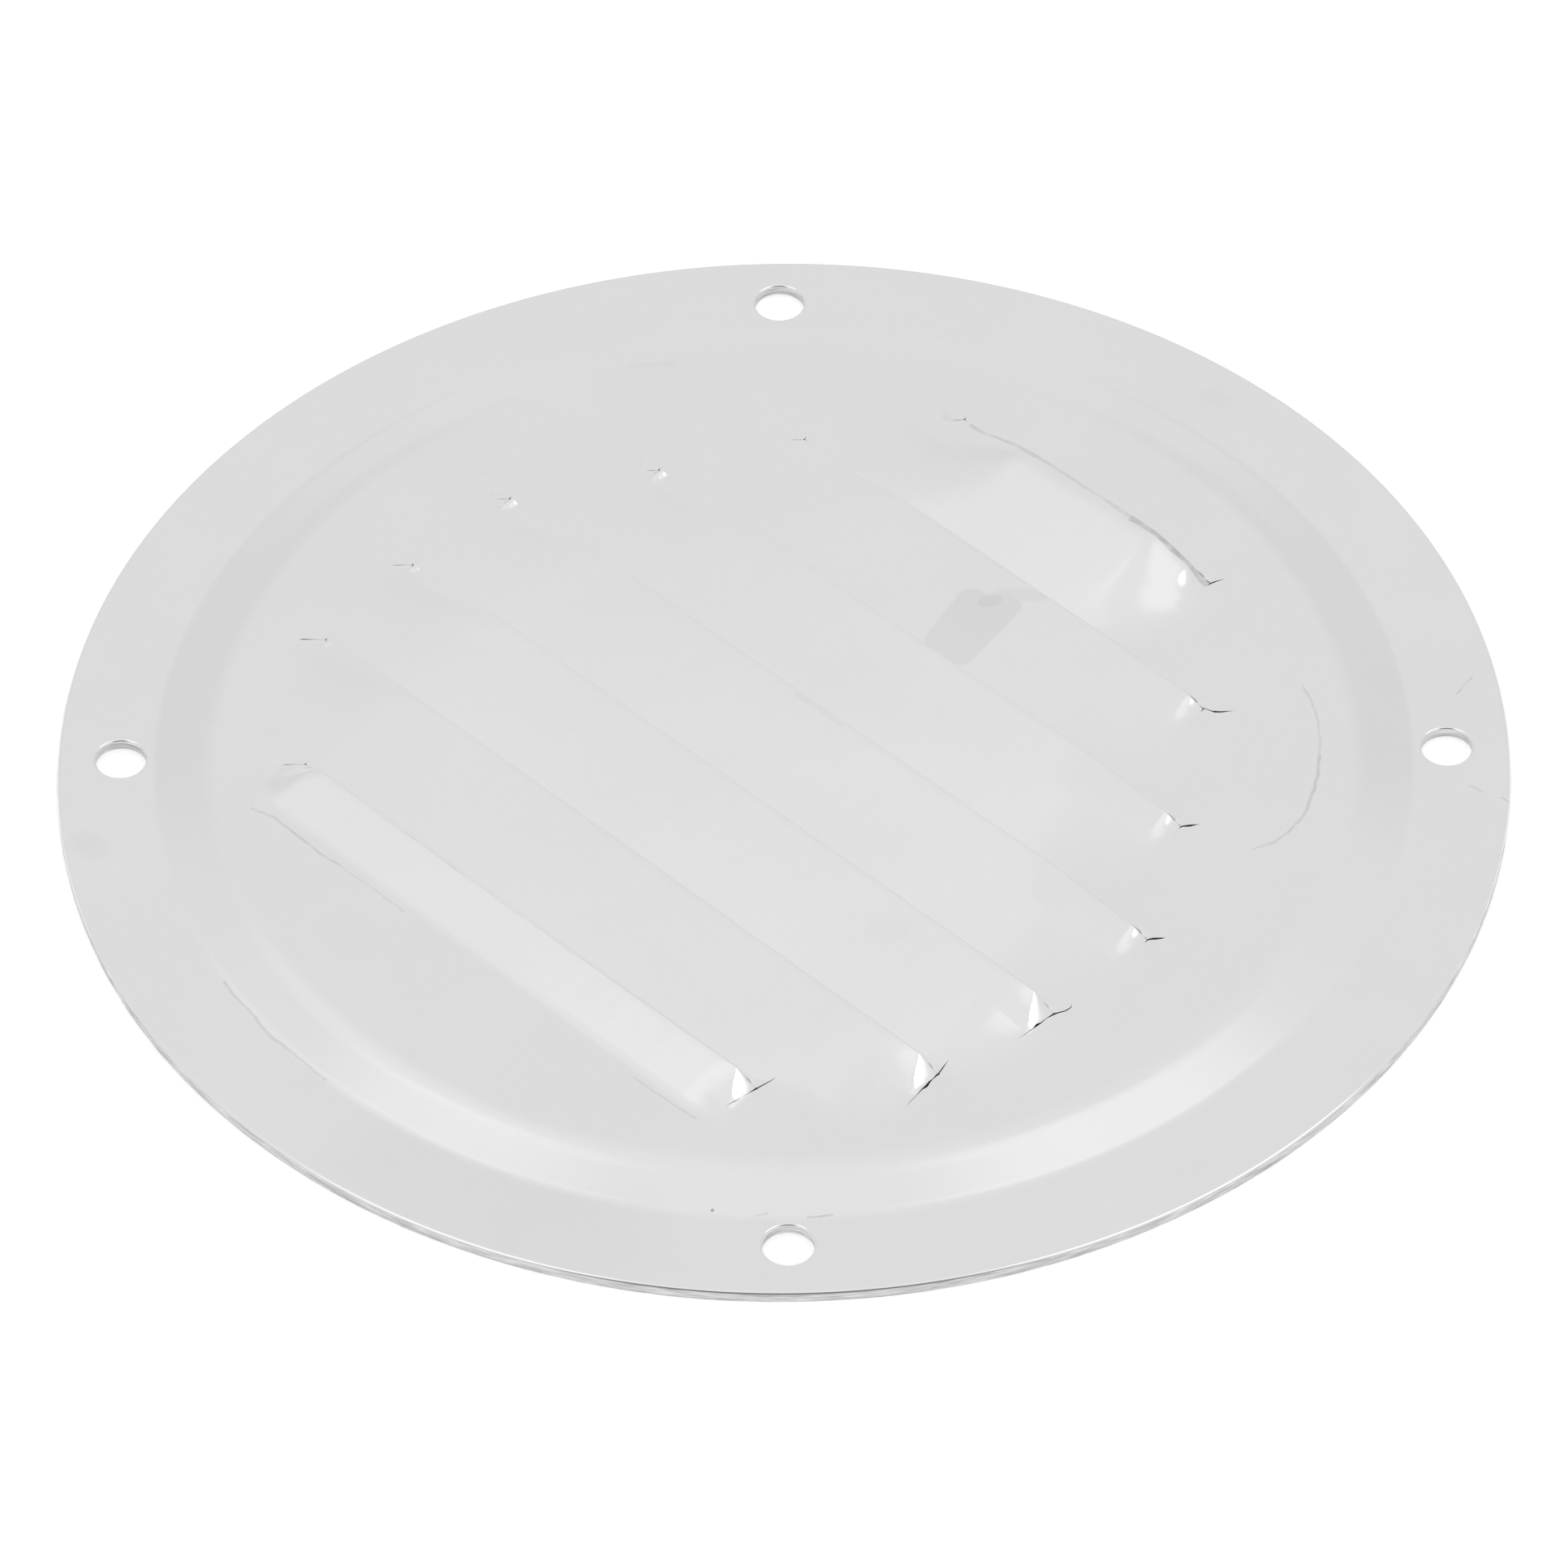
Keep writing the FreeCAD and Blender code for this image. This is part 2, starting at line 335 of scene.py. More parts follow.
def edgeLine(louvre, x):
    # y of the raised edge along the cut, bowed and a little nicked
    along = 2 * alongShare(louvre, x) - 1
    nick = 0
    for step, shift, share in cover["nickWaves"]:
        nick = nick + share * np.sin(x * step + louvre["index"] * shift)
    bow = louvre["row"]["bow"] * (1 - along ** 2)
    return louvre["cutY"] + (bow + cover["edgeNick"] * nick) * (1 - along ** 4)


def gapWidth(louvre, x):
    # a cut closes up towards its ends
    return cover["cutGap"] * np.clip(fromEnds(louvre, x, cover["gapOpens"]), cover["gapShut"], 1)


def edgeRadius(louvre, x):
    return between(louvre["row"]["round"], alongShare(louvre, x))


def slatShape(v, soft):
    # share of the rise from fold (0) to edge (1): a short rounded fold, then straight
    return np.where(v < soft, v * v / (2 * soft), v - soft / 2) / (1 - soft / 2)


def slatHeight(louvre, x, y, edge):
    # height of a slat over the plateau, with its folded corners
    row = louvre["row"]
    d = np.maximum(y - edge, 0)
    v = np.clip((louvre["foldY"] - y) / (louvre["foldY"] - edge), 0, 1)
    rise = between(row["rise"], alongShare(louvre, x))
    start, end = louvre["hidden"]  # ends of the cut above
    inside, over = cover["foldShows"]
    shown = np.clip(np.maximum(start + inside - x, x - end + inside) / over, 0, 1)
    full = rise * slatShape(v, between((cover["foldSoft"], cover["creaseSoft"]), shown))
    depth, width = row["soften"]
    full -= depth * np.clip(1 - d / width, 0, 1) ** 2
    z = np.zeros_like(x)
    middle = (louvre["left"] + louvre["right"]) / 2
    sides = ((x - louvre["left"], x < middle), (louvre["right"] - x, x >= middle))
    for (s, here), corner in zip(sides, louvre["corners"]):
        run, share, soft = corner["fold"]
        joinedClimb, outside = corner["joined"]
        ear, earRun, earBack, earReach = corner["ear"]
        t = np.clip(d / corner["reach"], 0, 1)
        out = s + corner["lean"] * d
        facet = np.clip(out / np.maximum(run * (1 - t * (1 - soft)), 0.02), 0, 1)
        facet = between((facet, easeSoft(facet)), soft)
        free = between((easeSoft(np.clip(out / corner["climb"], 0, 1)), facet), share)
        joined = easeSoft(np.clip((s + outside) / joinedClimb, 0, 1))
        tip = np.where(s < earRun, s / earRun, 1 - (s - earRun) / earBack)
        tip = easeSoft(np.clip(tip, 0, 1)) * np.clip(1 - d / earReach, 0, 1)
        z = np.where(here, full * between((free, joined), t) + ear * tip, z)
    radius = edgeRadius(louvre, x)
    return z - quarterRound(radius - d, radius) * np.clip(fromEnds(louvre, x, cover["roundStarts"]), 0, 1)


def lipHeight(louvre, x, y, edge):
    # the sheet below a cut, pressed in
    low = louvre["cutY"] - cover["lipWidth"]
    w = np.clip((y - low) / (edge - gapWidth(louvre, x) - low), 0, 1)
    s = fromEnds(louvre, x, cover["lipSinks"], cover["lipLate"])
    return -cover["lipDip"] * easeSoft(w) * easeSoft(np.clip(s, 0, 1))


def louvreBend(x, y):
    # height that the louvres add to the plateau
    z = np.zeros_like(x)
    for louvre in louvres:
        near = (x > louvre["left"] - cover["endSpread"]) & (x < louvre["right"] + cover["endSpread"])
        near &= (y < louvre["foldY"]) & (y > louvre["cutY"] - cover["lipWidth"])
        if not near.any():
            continue
        px, py = x[near], y[near]
        edge = edgeLine(louvre, px)
        above = py > edge - gapWidth(louvre, px) / 2
        z[near] += np.where(above, slatHeight(louvre, px, py, edge), lipHeight(louvre, px, py, edge))
    for index, side, (dx, dy), radius, depth in endDents:
        louvre = louvres[index]
        cx = (louvre["left"] if side < 0 else louvre["right"]) + dx
        q = np.hypot(x - cx, y - louvre["cutY"] - dy)
        z -= depth * np.exp(-(q / radius * cover["dentFall"]) ** 2)
    return z


def faceHeight(x, y, back):
    z = dishProfile(np.hypot(x, y), back) + louvreBend(x, y) + sheetWave(x, y)
    return z if back else z - rolledEdges(x, y)


def alongCut(louvre):
    # stations along a louvre, close together near its ends
    length = louvre["right"] - louvre["left"]
    tips, fine, wide = meshSteps["endStations"]
    near = np.concatenate([tips, np.arange(*fine), np.arange(*wide)])
    rest = length - 2 * wide[1]
    middle = np.linspace(wide[1], length - wide[1], int(rest / meshSteps["middleStep"]) + 2)
    return louvre["left"] + np.concatenate([near, middle, length - near[::-1]])


def slotOutline(louvre):
    # closed outline of a cut with its tears: raised edge, +x tears, pressed-in edge, -x tears
    xs = alongCut(louvre)
    raised = list(zip(xs, edgeLine(louvre, xs)))
    lowered = list(zip(xs, edgeLine(louvre, xs) - gapWidth(louvre, xs)))
    ends = []
    cutY = louvre["cutY"]
    for side, endX, (up, down) in zip((-1, 1), (louvre["left"], louvre["right"]), louvre["tears"]):
        gap = gapWidth(louvre, endX)
        lowY = cutY - gap
        inner = [(endX + side * (out - half), cutY + d) for d, out, half in up]
        outer = [(endX + side * (out + half), cutY + d) for d, out, half in up[:-1]]
        belowOuter = [(endX + side * (out + half), lowY - d) for d, out, half in down]
        belowInner = [(endX + side * (out - half), lowY - d) for d, out, half in down[:-1]]
        root = [(endX + side * (up[0][1] + up[0][2] + 0.03), cutY - gap / 2)]
        ends.append(inner + outer[::-1] + root + belowOuter + belowInner[::-1])
    return raised + ends[1] + lowered[::-1] + ends[0][::-1]


def insideOutline(points, outline):
    # even-odd test of many points against one closed outline
    poly = np.array(outline)
    inside = np.zeros(len(points), bool)
    for (x0, y0), (x1, y1) in zip(poly, np.roll(poly, -1, axis=0)):
        if y0 == y1:
            continue
        crosses = (y0 > points[:, 1]) != (y1 > points[:, 1])
        at = x0 + (points[:, 1] - y0) * (x1 - x0) / (y1 - y0)
        inside ^= crosses & (points[:, 0] < at)
    return inside


def nearOutline(points, outline, reach):
    # points closer than this to any side of the outline
    close = np.zeros(len(points), bool)
    poly = np.array(outline)
    for a, b in zip(poly, np.roll(poly, -1, axis=0)):
        side = b - a
        t = np.clip((points - a) @ side / max(side @ side, 1e-12), 0, 1)
        close |= np.linalg.norm(points - a - t[:, None] * side, axis=1) < reach
    return close


def ringRadii():
    inCrown, inRamp, inFoot, inFlange, inRoll = meshSteps["ringParts"]
    plateau = [plateauRadius - 2.0, plateauRadius - 1.0]
    crown = plateauRadius + cover["crownBend"] * np.sin(np.linspace(0, slope, inCrown))
    ramp = np.linspace(crownEnd, crownEnd + straight * math.cos(slope), inRamp)[1:]
    foot = footRadius - cover["footBend"] * np.sin(np.linspace(slope, 0, inFoot))[1:]
    flange = np.linspace(footRadius, rimRadius - cover["rimRoll"], inFlange)[1:]
    roll = rimRadius - cover["rimRoll"] * (1 - np.sin(np.linspace(0, math.pi / 2, inRoll)))[1:]
    return np.concatenate([plateau, crown, ramp, foot, flange, roll])


def louvreLines(louvre):
    # rows of points along a slat and its lip, and the fold of each torn corner
    xs = alongCut(louvre)
    edge = edgeLine(louvre, xs)
    radius = edgeRadius(louvre, xs)
    lines = []
    for v in meshSteps["slatRows"]:
        lines.append((xs, louvre["foldY"] + (edge - louvre["foldY"]) * v))
    for d in meshSteps["edgeRows"]:
        lines.append((xs, edge + d))
    for share in meshSteps["roundRows"]:
        lines.append((xs, edge + radius * share))
    low = louvre["cutY"] - cover["lipWidth"]
    for w in meshSteps["lipRows"]:
        lines.append((xs, low + (edge - cover["cutGap"] - low) * w))
    t = np.linspace(0.03, 1, meshSteps["facetPoints"])
    for side, corner in zip((-1, 1), louvre["corners"]):
        endX = louvre["left"] if side < 0 else louvre["right"]
        run = corner["fold"][0]
        lean = corner["lean"] * corner["reach"] * t
        for share in meshSteps["facetRows"]:
            x = endX - side * (run * (1 - t) * share - lean)
            lines.append((x, edgeLine(louvre, x) + corner["reach"] * t))
    return [np.stack(line, 1) for line in lines]


def endGrid(louvre):
    # loose points round a torn end
    low, high, step = meshSteps["endAcross"]
    s = np.arange(*meshSteps["endAlong"])
    y = np.arange(louvre["cutY"] + low, louvre["foldY"] + high, step)
    gs, gy = np.meshgrid(s, y)
    left = np.stack([(louvre["left"] + gs).ravel(), gy.ravel()], 1)
    right = np.stack([(louvre["right"] - gs).ravel(), gy.ravel()], 1)
    return np.concatenate([left, right])


def coverPlan():
    # plan of the sheet as triangles, with its holes and cuts left open
    ringCount, holePoints = meshSteps["ringCount"], meshSteps["holePoints"]
    points, links = [], []

    def addPoints(some):
        points.extend(map(tuple, some))

    def addLine(line, keep, closed):
        # points of a row, each kept one joined to its neighbour
        place = {}
        for i in np.flatnonzero(keep):
            place[i] = len(points)
            points.append(tuple(line[i]))
        for i in place:
            j = (i + 1) % len(line) if closed else i + 1
            if j in place:
                links.append((place[i], place[j]))

    outlines = [slotOutline(louvre) for louvre in louvres]
    for outline in outlines:
        addLine(outline, np.ones(len(outline), bool), True)
    for cx, cy in holeCentres:
        for share in meshSteps["holeRings"]:
            ring = circlePoints(cx, cy, cover["holeRadius"] + cover["holeRoll"] * share, holePoints)
            addLine(ring, np.ones(holePoints, bool), True)
        addPoints(circlePoints(cx, cy, cover["holeRadius"] + meshSteps["holeOuter"], holePoints // 2))
    for i, r in enumerate(ringRadii()):
        ring = circlePoints(0, 0, r, ringCount, math.pi / ringCount * (i % 2))
        keep = np.ones(ringCount, bool)
        for cx, cy in holeCentres:
            toHole = np.hypot(ring[:, 0] - cx, ring[:, 1] - cy)
            keep &= toHole > cover["holeRadius"] + meshSteps["holeClear"]
        addLine(ring, keep, True)
    for louvre, outline in zip(louvres, outlines):
        for line in louvreLines(louvre):
            keep = np.hypot(line[:, 0], line[:, 1]) < fieldRadius
            keep &= ~(insideOutline(line, outline) | nearOutline(line, outline, meshSteps["lineClear"]))
            addLine(line, keep, False)
        grid = endGrid(louvre)
        keep = np.hypot(grid[:, 0], grid[:, 1]) < fieldRadius
        for other in outlines:
            keep &= ~(insideOutline(grid, other) | nearOutline(grid, other, meshSteps["gridClear"]))
        addPoints(grid[keep])
    steps = np.arange(-plateauRadius, plateauRadius, meshSteps["coarse"])
    coarse = np.stack(np.meshgrid(steps, steps), 2).reshape(-1, 2)
    gx, gy = coarse[:, 0], coarse[:, 1]
    keep = np.hypot(gx, gy) < fieldRadius
    ends, below, above = meshSteps["coarseClear"]
    for louvre in louvres:
        across = (gy > louvre["cutY"] - below) & (gy < louvre["foldY"] + above)
        keep &= ~(across & (gx > louvre["left"] - ends) & (gx < louvre["right"] + ends))
    addPoints(coarse[keep])

    made = delaunay_2d_cdt([Vector(p) for p in points], links, [], 0, 1e-5)
    plan = np.array([tuple(v) for v in made[0]])
    faces = np.array([f for f in made[2] if len(f) == 3])
    middle = plan[faces].mean(1)
    gone = np.zeros(len(faces), bool)
    for cx, cy in holeCentres:
        apothem = cover["holeRadius"] * math.cos(math.pi / holePoints)
        gone |= np.hypot(middle[:, 0] - cx, middle[:, 1] - cy) < apothem
    for outline in outlines:
        gone |= insideOutline(middle, outline)
    faces = faces[~gone]
    a, b, c = plan[faces[:, 0]], plan[faces[:, 1]], plan[faces[:, 2]]
    turn = (b[:, 0] - a[:, 0]) * (c[:, 1] - a[:, 1]) - (b[:, 1] - a[:, 1]) * (c[:, 0] - a[:, 0])
    faces[turn < 0] = faces[turn < 0][:, ::-1]
    return plan, faces


def faceNormals(plan, faces, back):
    # normal at each triangle corner. On the louvres it is read just inside that triangle, so folds stay
    # crisp; on the round parts it is read at the corner itself, so rings stay smooth
    corner = plan[faces]
    r = np.linalg.norm(corner, axis=2, keepdims=True)
    inward = np.minimum(1, (rimRadius - 0.001) / np.maximum(r, 1e-9))
    inTriangle = corner + (corner.mean(1, keepdims=True) - corner) * meshSteps["normalPull"]
    at = np.where(r > plateauRadius - meshSteps["crispInset"], corner * inward, inTriangle)
    for cx, cy in holeCentres:
        centre = np.array([cx, cy])
        q = np.linalg.norm(at - centre, axis=2, keepdims=True)
        rim = cover["holeRadius"] + 0.001
        at = np.where(q < rim, centre + (at - centre) * rim / np.maximum(q, 1e-9), at)
    x, y = at[..., 0].ravel(), at[..., 1].ravel()
    d = 0.0005
    gx = (faceHeight(x + d, y, back) - faceHeight(x - d, y, back)) / (2 * d)
    gy = (faceHeight(x, y + d, back) - faceHeight(x, y - d, back)) / (2 * d)
    normal = np.stack([-gx, -gy, np.ones_like(gx)], 1)
    return normal / np.linalg.norm(normal, axis=1, keepdims=True)


def wallRows(plan, front, rear, border):
    # sheared walls of the rim and the holes: a smooth burnished band in front, a torn one behind
    draw = np.random.default_rng(cover["seed"] + 2)
    rowVerts, rowOf = [], {}
    first = 2 * len(plan)
    for v in sorted({a for a, b in border}):
        rowOf[v] = []
        isRim = math.hypot(*plan[v]) > rimRadius - 0.01
        toHole = plan[v] - holeCentres[np.argmin(np.linalg.norm(holeCentres - plan[v], axis=1))]
        if not isRim and np.linalg.norm(toHole) > cover["holeRadius"] + 0.01:
            continue
        out = plan[v] if isRim else -toHole  # from the metal into the open
        out = out / np.linalg.norm(out)
        for share, step in cover["shearRows"]:
            jog = -cover["fracture"] * step * draw.uniform(0.5, 1.5)
            z = front[v][2] * (1 - share) + draw.uniform(-cover["shearJitter"], cover["shearJitter"])
            rowVerts.append((*(plan[v] + out * jog), z))
            rowOf[v].append(first + len(rowVerts) - 1)
        rear[v][:2] -= out * cover["fracture"]
    return rowVerts, rowOf


def buildCover():
    plan, faces = coverPlan()
    count = len(plan)
    front = np.column_stack([plan, faceHeight(plan[:, 0], plan[:, 1], False)])
    rear = np.column_stack([plan, faceHeight(plan[:, 0], plan[:, 1], True)])
    # open borders of the plan become the sheared walls between front and back
    edges = {(f[i], f[(i + 1) % 3]) for f in faces for i in range(3)}
    border = sorted((a, b) for a, b in edges if (b, a) not in edges)
    rowVerts, rowOf = wallRows(plan, front, rear, border)
    walls = []
    for a, b in border:
        downA = [a] + rowOf[a] + [a + count]
        downB = [b] + rowOf[b] + [b + count]
        walls += [(downA[i], downA[i + 1], downB[i + 1], downB[i]) for i in range(len(downA) - 1)]
    points = np.concatenate([front, rear, np.array(rowVerts)])
    polygons = [tuple(f) for f in faces] + [tuple(f[::-1] + count) for f in faces] + walls
    mesh = bpy.data.meshes.new("louvredCover")
    mesh.from_pydata(points * mm, [], polygons)
    mesh.polygons.foreach_set("use_smooth", [True] * len(polygons))
    # polished front and back, sheared walls and outermost strip of the rim
    shearedFrom = rimRadius - cover["rollSheared"] * cover["rimRoll"]
    outer = np.linalg.norm(plan[faces].mean(1), axis=1) > shearedFrom
    finish = [*outer.astype(int)] + [0] * len(faces) + [1] * len(walls)
    mesh.polygons.foreach_set("material_index", finish)
    up = faceNormals(plan, faces, False)
    down = -faceNormals(plan, faces, True).reshape(-1, 3, 3)[:, ::-1].reshape(-1, 3)
    side = []
    for wall in walls:
        p = points[list(wall)]
        flat = np.cross(p[2] - p[0], p[3] - p[1])
        side += [flat / max(np.linalg.norm(flat), 1e-12)] * 4
    mesh.normals_split_custom_set(np.concatenate([up, down, np.array(side)]).tolist())
    piece = bpy.data.objects.new("louvred_cover_polished", mesh)
    scene.collection.objects.link(piece)
    print("cover:", len(mesh.vertices), "points,", len(mesh.polygons), "faces")
    return piece


# Darker marks on the polished face, in millimetres: points of the stroke, half width, soft edge,
# share of the reflected light that it takes. Most are scratches left by handling; the strokes along the top
# louvre's fold and along the lowest louvre's raised edge are painted shade.
scratchesAndPaintedShade = (
    (((-27.6, -36.8), (-29.4, -36.0), (-30.9, -35.0), (-32.8, -33.4), (-34.5, -31.6)), 0.04, 0.14, 0.12),
    (((-34.5, -31.6), (-36.2, -29.4), (-37.6, -27.0), (-38.6, -24.9), (-39.0, -22.8)), 0.06, 0.15, 0.18),
    (((-39.0, -22.8), (-38.9, -20.9), (-38.2, -19.1)), 0.05, 0.15, 0.13),
    # painted shade: a dark line along the fold of the top louvre, where the crease shades
    (((27.4, 37.9), (25.2, 37.3), (21.0, 37.55), (17.0, 37.4)), 0.05, 0.14, 0.16),
    (((17.0, 37.4), (9.0, 37.4)), 0.04, 0.12, 0.07),
    (((-19.0, 37.3), (-26.0, 37.0)), 0.04, 0.12, 0.10),
    # painted shade: a dark line along the raised edge of the lowest louvre
    (((16.0, -40.3), (8.0, -40.4)), 0.14, 0.25, 0.16),
    (((8.0, -40.4), (-4.0, -40.35)), 0.10, 0.25, 0.12),
    (((-4.0, -40.35), (-12.8, -40.4)), 0.26, 0.25, 0.30),
    (((-36.7, 40.7), (-37.3, 39.8)), 0.05, 0.10, 0.14),
    (((-40.0, 37.7), (-41.3, 36.1)), 0.06, 0.08, 0.20),
    (((-33.8, 42.8), (-33.75, 42.8)), 0.09, 0.08, 0.45),
    (((-37.3, -46.4), (-36.9, -48.9)), 0.05, 0.10, 0.14),
    (((-45.6, -38.8), (-46.9, -39.0)), 0.05, 0.10, 0.14),
    (((-48.6, -39.6), (-49.5, -39.7)), 0.05, 0.10, 0.14),
    (((14.9, 53.2), (7.6, 54.7), (0.4, 55.0)), 0.05, 0.16, 0.14),
)
# Smudges, in the same columns. The first four strokes are a painted reflection: a dark patch on the slat
# between the fifth and sixth cuts, standing in for a dark object mirrored there
smudgesAndPaintedReflection = (
    (((-3.2, -18.7), (-2.5, -25.2)), 1.3, 0.5, 0.072),
    (((-1.0, -18.7), (0.1, -23.8)), 1.2, 0.5, 0.070),
    (((-0.9, -24.6), (-1.4, -25.2)), 0.5, 0.5, 0.120),
    (((-1.3, -26.2), (-4.2, -28.2)), 0.3, 0.6, 0.050),
    (((-23.4, 10.0), (-22.6, 11.0)), 0.6, 1.4, 0.018),
    (((10.0, 42.4), (11.0, 42.4)), 1.4, 2.0, 0.016),
    (((41.4, -27.6), (43.8, -24.8)), 0.05, 0.7, 0.030),
    (((34.8, 50.0), (35.8, 50.0)), 0.5, 1.6, 0.035),
    (((3.2, -59.6), (4.2, -59.5)), 0.3, 1.4, 0.025),
    (((2.5, -4.3), (-3.0, -4.2)), 0.10, 0.25, 0.03),
    (((-14.0, 57.5), (-27.0, 53.5)), 3.0, 9.0, 0.026),
)


class Tree:
    # shorthand for wiring up a material's nodes
    def __init__(self, name):
        self.material = bpy.data.materials.new(name)
        self.material.use_nodes = True
        self.nodes = self.material.node_tree.nodes
        self.links = self.material.node_tree.links
        self.shader = self.nodes["Principled BSDF"]

    def put(self, target, value):
        if isinstance(value, bpy.types.NodeSocket):
            self.links.new(value, target)
        else:
            target.default_value = value

    def place(self, scale):
        coords = self.nodes.new("ShaderNodeTexCoord")
        mapping = self.nodes.new("ShaderNodeMapping")
        mapping.inputs["Scale"].default_value = scale
        self.links.new(coords.outputs["Object"], mapping.inputs["Vector"])
        return mapping.outputs["Vector"]

    def noise(self, vector, scale, detail, colour=False):
        made = self.nodes.new("ShaderNodeTexNoise")
        self.links.new(vector, made.inputs["Vector"])
        made.inputs["Scale"].default_value = scale
        made.inputs["Detail"].default_value = detail
        return made.outputs["Color" if colour else "Fac"]

    def vector(self, operation, *values, output="Vector"):
        made = self.nodes.new("ShaderNodeVectorMath")
        made.operation = operation
        for socket, value in zip(made.inputs, values):
            self.put(socket, value)
        return made.outputs[output]

    def reach(self, value, fromPair, toPair, smooth=False):
        made = self.nodes.new("ShaderNodeMapRange")
        made.interpolation_type = "SMOOTHSTEP" if smooth else "LINEAR"
        self.put(made.inputs["Value"], value)
        for name, number in zip(("From Min", "From Max", "To Min", "To Max"), (*fromPair, *toPair)):
            made.inputs[name].default_value = number
        return made.outputs["Result"]

    def math(self, operation, a, b):
        made = self.nodes.new("ShaderNodeMath")
        made.operation = operation
        self.put(made.inputs[0], a)
        self.put(made.inputs[1], b)
        return made.outputs["Value"]

    def bump(self, height, distance, strength):
        made = self.nodes.new("ShaderNodeBump")
        made.inputs["Strength"].default_value = strength
        made.inputs["Distance"].default_value = distance
        self.links.new(height, made.inputs["Height"])
        self.links.new(made.outputs["Normal"], self.shader.inputs["Normal"])


def strokeMask(tree, flat, start, end, half, soft, depth):
    # soft-edged stroke from start to end
    a = Vector((*start, 0))
    along = Vector((*end, 0)) - a
    toPoint = tree.vector("SUBTRACT", flat, a)
    share = tree.vector("DOT_PRODUCT", toPoint, along / along.length_squared, output="Value")
    share = tree.reach(share, (0, 1), (0, 1))
    scaled = tree.nodes.new("ShaderNodeVectorMath")
    scaled.operation = "SCALE"
    scaled.inputs[0].default_value = along
    tree.links.new(share, scaled.inputs["Scale"])
    distance = tree.vector("DISTANCE", toPoint, scaled.outputs["Vector"], output="Value")
    return tree.reach(distance, (half, half + soft), (depth, 0), True)


def strokeSum(tree, flat, strokes):
    total = None
    for points, half, soft, depth in strokes:
        for start, end in zip(points, points[1:]):
            mask = strokeMask(tree, flat, start, end, half, soft, depth)
            total = mask if total is None else tree.math("MAXIMUM", total, mask)
    return total


# Finish of the steel. A noise is given as its scale per millimetre and its detail
noiseSpan = (0.3, 0.7)  # about the range of a noise's values
polish = {
    "wander": (0.45, 2),
    "wanderBy": 0.5,            # how far a stroke strays, in millimetres
    "patches": (0.9, 3),
    "patchSpan": (0.3, 0.65),
    "patchShare": (0.45, 1.15),  # how much of a scratch, or of the painted shade along a fold or edge, shows
    "clouds": (0.07, 4),
    "cloudDepth": 0.010,
    "mottle": (1.6, 3),
    "mottleDepth": 0.005,
    "tone": 0.83,
    "lightest": 0.1,            # spots may be lighter than the tone by up to this share
    "haze": (0.12, 5),
    "roughness": (0.06, 0.13),
    "lineScale": (260, 7000, 1000),  # fine polishing lines along the louvres, per metre
    "lineBump": (1.2e-6, 0.6),  # metres, strength
}
shear = {
    "streakScale": (420, 420, 5200),  # lines that run along the edge, per metre
    "tone": (0.46, 0.76),
    "roughness": (0.52, 0.38),
    "streakBump": (1.5e-5, 0.7),
}


def polishedSteel():
    tree = Tree("polishedSteel")
    place = tree.place((1000, 1000, 1000))
    flat = tree.place((1000, 1000, 0))
    # hand-drawn wander on the strokes
    by = polish["wanderBy"]
    wander = tree.vector("MULTIPLY_ADD", tree.noise(flat, *polish["wander"], True), (by, by, 0), flat)
    wander = tree.vector("SUBTRACT", wander, (by / 2, by / 2, 0))
    patchy = tree.reach(tree.noise(flat, *polish["patches"]), polish["patchSpan"], polish["patchShare"])
    # darkening from scratches and from the painted shade along a fold and an edge, broken into patches
    taken = tree.math("MULTIPLY", strokeSum(tree, wander, scratchesAndPaintedShade), patchy)
    # darkening from smudges and from the painted reflection of a dark patch
    taken = tree.math("ADD", taken, strokeSum(tree, wander, smudgesAndPaintedReflection))
    # faint clouds and fine mottle of a wiped polish
    depth = polish["cloudDepth"]
    clouds = tree.reach(tree.noise(place, *polish["clouds"]), noiseSpan, (-depth, depth))
    depth = polish["mottleDepth"]
    mottle = tree.reach(tree.noise(place, *polish["mottle"]), noiseSpan, (-depth, depth))
    taken = tree.math("ADD", taken, tree.math("ADD", clouds, mottle))
    most = polish["lightest"]
    tone = tree.reach(taken, (-most, 1), (polish["tone"] * (1 + most), 0))
    tree.put(tree.shader.inputs["Base Color"], tone)
    tree.shader.inputs["Metallic"].default_value = 1.0
    haze = tree.reach(tree.noise(place, *polish["haze"]), noiseSpan, polish["roughness"])
    tree.put(tree.shader.inputs["Roughness"], haze)
    # polishing lines, almost too fine to see
    lines = tree.noise(tree.place(polish["lineScale"]), 1.0, 4)
    tree.bump(lines, *polish["lineBump"])
    print("polished steel:", len(scratchesAndPaintedShade), "scratches,", len(smudgesAndPaintedReflection), "smudgesAndPaintedReflection")
    return tree.material


def shearedEdge():
    tree = Tree("shearedEdge")
    streaks = tree.noise(tree.place(shear["streakScale"]), 1.0, 4)
    tree.put(tree.shader.inputs["Base Color"], tree.reach(streaks, noiseSpan, shear["tone"]))
    tree.shader.inputs["Metallic"].default_value = 1.0
    tree.put(tree.shader.inputs["Roughness"], tree.reach(streaks, noiseSpan, shear["roughness"]))
    tree.bump(streaks, *shear["streakBump"])
    return tree.material


piece = buildCover()
piece.data.materials.append(polishedSteel())
piece.data.materials.append(shearedEdge())
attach(piece, "root")
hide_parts(node)


floorSetup = {
    "size": 3.0,                # metres
    "tone": (0.93, 0.97),
    "grain": 60.0,
    "roughness": 0.9,
    "specular": 0.1,
}


